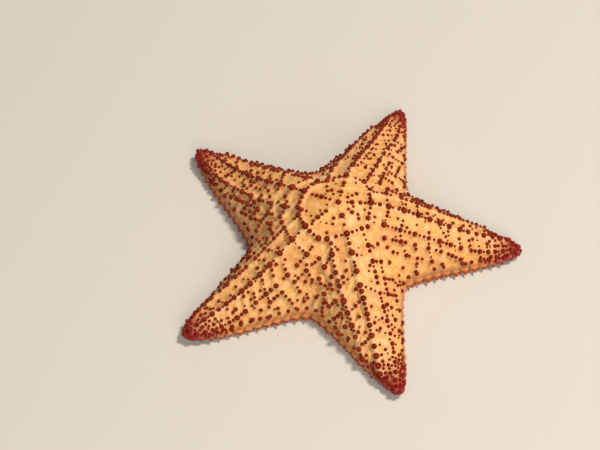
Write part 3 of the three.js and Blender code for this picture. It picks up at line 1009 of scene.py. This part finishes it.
for k in ARMS:
    roots, share, _, half_width, depth = beside_furrow(k, FOOT_PITCH, FOOT_ASIDE)
    roots[:, 2] += depth * FOOT_SINK
    ways = unit(rng.normal(0, FOOT_SPREAD, roots.shape) * (1, 1, 0) - (0, 0, 1))
    size = np.minimum(FOOT_RADIUS, half_width * FOOT_ROOM)
    mesh = plant(
        f"feet_{k + 1}",
        foot_blank,
        roots,
        ways,
        size,
        roots[:, 2] - underside_level(k, share, share) - FOOT_END,
        size * FOOT_ROOT,
        on_unwrap(k, share, share),
        {"tone": rng.random(len(roots))},
    )
    feet = add_piece(mesh, foot_finish)
    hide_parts(f"tube_feet_{k + 1}")

    roots, share, side, half_width, _ = beside_furrow(k, GUARD_PITCH, GUARD_ASIDE)
    roots[:, 2] += GUARD_LEVEL
    outward, up = GUARD_WAY
    ways = (side * outward)[:, None] * (*heading(ARM_BEARINGS[k] + 90), 0)
    ways = unit(ways + rng.normal(0, GUARD_SPREAD, roots.shape) * (1, 1, 0) + (0, 0, up))
    size = rng.uniform(0.85, 1.1, len(roots)) * np.interp(half_width, GUARD_WIDTHS, (0.5, 1))
    mesh = plant(
        f"furrow_spines_{k + 1}",
        spine_blank,
        roots,
        ways,
        size * GUARD_RADIUS,
        size * GUARD_LENGTH,
        size * GUARD_RADIUS,
        on_unwrap(k, share, share),
        {"tone": rng.random(len(roots))},
    )
    add_piece(mesh, grain_finish)


# ---------- the mouth
# A ring of soft skin round a small opening, in a pit. Five jaws stand round it between the
# furrows, each with a fan of stout spines that close over the opening.
LIP_PROFILE = [  # radius, height
    (0.0, 3.9), (0.4, 3.4), (1.4, 2.2), (2.6, 1.9), (4.6, 2.5), (5.6, 3.6), (5.7, 4.6), (0.0, 4.8)
]  # fmt: skip
LIP_FOLDS = 10
LIP_FOLD_HEIGHT = 0.3
LIP_FOLD_REACH = 5.2
JAW_SPINES = [(-0.7, 3.0), (-0.25, 3.8), (0.25, 3.8), (0.7, 3.0)]  # sideways lean, length
JAW_REACH = 6.2
JAW_WIDTH = 2.2
JAW_FAN = 0.35
JAW_RISE = 0.3  # above the mouth side's skin
JAW_DROOP = -0.18
JAW_RADIUS = 0.8
JAW_SINK = 1.2
JAW_UNWRAP = (0.72, 0.6, 0.02)  # their patches' corner on a bare part of the unwrap, and their pitch

ring = turned(LIP_PROFILE, 40)
bmesh.ops.remove_doubles(ring, verts=ring.verts, dist=0.01)
for corner in ring.verts:  # the lip is puckered into folds
    turn, reach = np.arctan2(corner.co.y, corner.co.x), corner.co.xy.length
    if 0.2 < reach < LIP_FOLD_REACH and corner.co.z < 4:
        corner.co.z += LIP_FOLD_HEIGHT * np.cos(LIP_FOLDS * turn) * min(reach / 3, 1)
bmesh.ops.recalc_face_normals(ring, faces=ring.faces)
stand = Matrix.Scale(MM, 4) @ Matrix.Translation(Vector(CENTRE))
bmesh.ops.transform(ring, matrix=stand, verts=ring.verts)

# Soft wet skin, darker in the folds.
FOLD_SIZE = 1.2 * MM
lip_finish = new_finish("puckered_lip_skin")
folds, bump = roughen(lip_finish, FOLD_SIZE, 3.0, 0.5, 0.4 * MM)
tints = {0: folds, 6: srgb("B9743A"), 7: srgb("E0B47E")}
colour = add_node(lip_finish, "Mix", 2, tints, data_type="RGBA")
looks = {"Base Color": colour, "Roughness": 0.38, "IOR": 1.38, "Normal": bump}
shader = add_node(lip_finish, "BsdfPrincipled", "BSDF", looks)
add_node(lip_finish, "OutputMaterial", inputs={"Surface": shader})
lip = add_piece(mesh_of(ring, "mouth_lip"), lip_finish)
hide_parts("mouth")

roots, ways, lengths = [], [], []
for bearing in NOTCH_BEARINGS:
    outward, across = heading(bearing), heading(bearing + 90)
    for lean, length in JAW_SPINES:
        roots.append((*(outward * JAW_REACH + across * lean * JAW_WIDTH), UNDER_INSET + JAW_RISE))
        ways.append((*(-outward - across * lean * JAW_FAN), JAW_DROOP))
        lengths.append(length)
count = np.arange(len(roots))
left, foot, pitch = JAW_UNWRAP
mesh = plant(
    "jaw_spines",
    spine_blank,
    np.array(roots),
    unit(np.array(ways)),
    np.full(len(roots), JAW_RADIUS),
    np.array(lengths),
    np.full(len(roots), JAW_SINK),
    np.column_stack([left + pitch * (count % 5), foot + pitch * (count // 5)]),
    {"tone": rng.random(len(roots))},
)
add_piece(mesh, grain_finish)


# ---------- the sieve plate
# A round limy plate on the back between two arms, where sea water is let in. Its face is cut by
# fine grooves that branch outwards from its middle. The skin is thin on it, so it is pale.
SIEVE_RADIUS = 3.1
SIEVE_RISE = 1.1
SIEVE_SKIRT = 1.4
SIEVE_GROOVES = 22
GROOVE_DEPTH = 0.28
BRANCHING = 0.55  # the grooves are twice as many beyond this share of the radius

plate = bmesh.new()
sides = 4 * SIEVE_GROOVES
bmesh.ops.create_circle(plate, cap_ends=True, cap_tris=True, segments=sides, radius=SIEVE_RADIUS)
bmesh.ops.subdivide_edges(plate, edges=[edge for edge in plate.edges if not edge.is_boundary], cuts=7)
rim_edges = [edge for edge in plate.edges if edge.is_boundary]
skirt = bmesh.ops.extrude_edge_only(plate, edges=rim_edges)["geom"]
hem = [corner for corner in skirt if isinstance(corner, bmesh.types.BMVert)]
bmesh.ops.translate(plate, vec=(0, 0, -SIEVE_SKIRT), verts=hem)
bmesh.ops.holes_fill(plate, edges=plate.edges)
for corner in plate.verts:
    reach = corner.co.xy.length / SIEVE_RADIUS
    if corner.co.z > -0.1:
        turn = np.arctan2(corner.co.y, corner.co.x)
        grooves = SIEVE_GROOVES if reach > BRANCHING else SIEVE_GROOVES // 2
        groove = max(0, np.cos(grooves * turn + 2 * np.sin(3 * turn))) * min(1, 4 * reach)
        corner.co.z = SIEVE_RISE * (1 - reach**2) - GROOVE_DEPTH * groove
bmesh.ops.recalc_face_normals(plate, faces=plate.faces)
s, t = np.array([0.0]), np.array([SIEVE_SHARE])
way = Vector(normals(back, SIEVE_KITE, s, t)[0])
stand = Matrix.Translation(Vector(sieve_spot + CENTRE)) @ way.to_track_quat("Z", "Y").to_matrix().to_4x4()
bmesh.ops.transform(plate, matrix=Matrix.Scale(MM, 4) @ stand, verts=plate.verts)

# Bare porous lime under the thinnest skin: pale, matt, tan in the grooves.
LIME_PORES = 0.8 * MM
lime_finish = new_finish("pale_grooved_lime")
pores, bump = roughen(lime_finish, LIME_PORES, 3.0, 0.5, 0.2 * MM)
tints = {0: pores, 6: srgb("C98E55"), 7: srgb("EFD3A4")}
colour = add_node(lime_finish, "Mix", 2, tints, data_type="RGBA")
looks = {"Base Color": colour, "Roughness": 0.7, "IOR": 1.5, "Normal": bump}
shader = add_node(lime_finish, "BsdfPrincipled", "BSDF", looks)
add_node(lime_finish, "OutputMaterial", inputs={"Surface": shader})
sieve = add_piece(mesh_of(plate, "sieve"), lime_finish)
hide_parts("sieve_plate")


# ---------- the floor, camera and lights
# A pale matt floor of painted board. A small warm key light stands high to the right, a broad
# weaker one fills in from the front, and a dim even sky does the rest.
FLOOR_HALF_WIDTH = 4  # metres, as are the places below
AIM = Vector(CENTRE) * MM + Vector((-0.03, 0.019, 0.0))
ELEVATION = np.radians(58.5)
DISTANCE = 1.176
KEY_LIGHT = ("key", (1.27, 0.27, 2.92), 0.5, 89, "FFF6EA")  # place, size, watts, tint
FILL_LIGHT = ("fill", (0.45, -1.6, 1.4), 1.4, 22, "FFF8F0")
SKY_STRENGTH = 0.3

sheet = bmesh.new()
bmesh.ops.create_grid(sheet, x_segments=1, y_segments=1, size=FLOOR_HALF_WIDTH)
floor_mesh = mesh_of(sheet, "floor")
floor_finish = new_finish("matt_pale_paint")
looks = {"Base Color": srgb("C9C5BD"), "Roughness": 0.8}
shader = add_node(floor_finish, "BsdfPrincipled", "BSDF", looks)
add_node(floor_finish, "OutputMaterial", inputs={"Surface": shader})
floor_mesh.materials.append(floor_finish)
new_object("floor", floor_mesh)

lens = bpy.data.cameras.new("camera")
lens.lens, lens.sensor_width = 85, 36
camera = new_object("camera", lens)
camera.location = AIM + DISTANCE * Vector((0, -np.cos(ELEVATION), np.sin(ELEVATION)))
camera.rotation_euler = (np.pi / 2 - ELEVATION, 0, 0)
bpy.context.scene.camera = camera

for name, place, size, watts, tint in (KEY_LIGHT, FILL_LIGHT):
    lamp = bpy.data.lights.new(name, "AREA")
    lamp.size, lamp.energy, lamp.color = size, watts, srgb(tint)[:3]
    light = new_object(name, lamp)
    light.location = place
    light.rotation_euler = Vector(place).to_track_quat("Z", "Y").to_euler()
world = bpy.data.worlds.new("studio")
world.use_nodes = True
sky = world.node_tree.nodes["Background"]
sky.inputs["Color"].default_value = srgb("F2F2F0")
sky.inputs["Strength"].default_value = SKY_STRENGTH
bpy.context.scene.world = world
bpy.context.scene.view_settings.view_transform = "Standard"
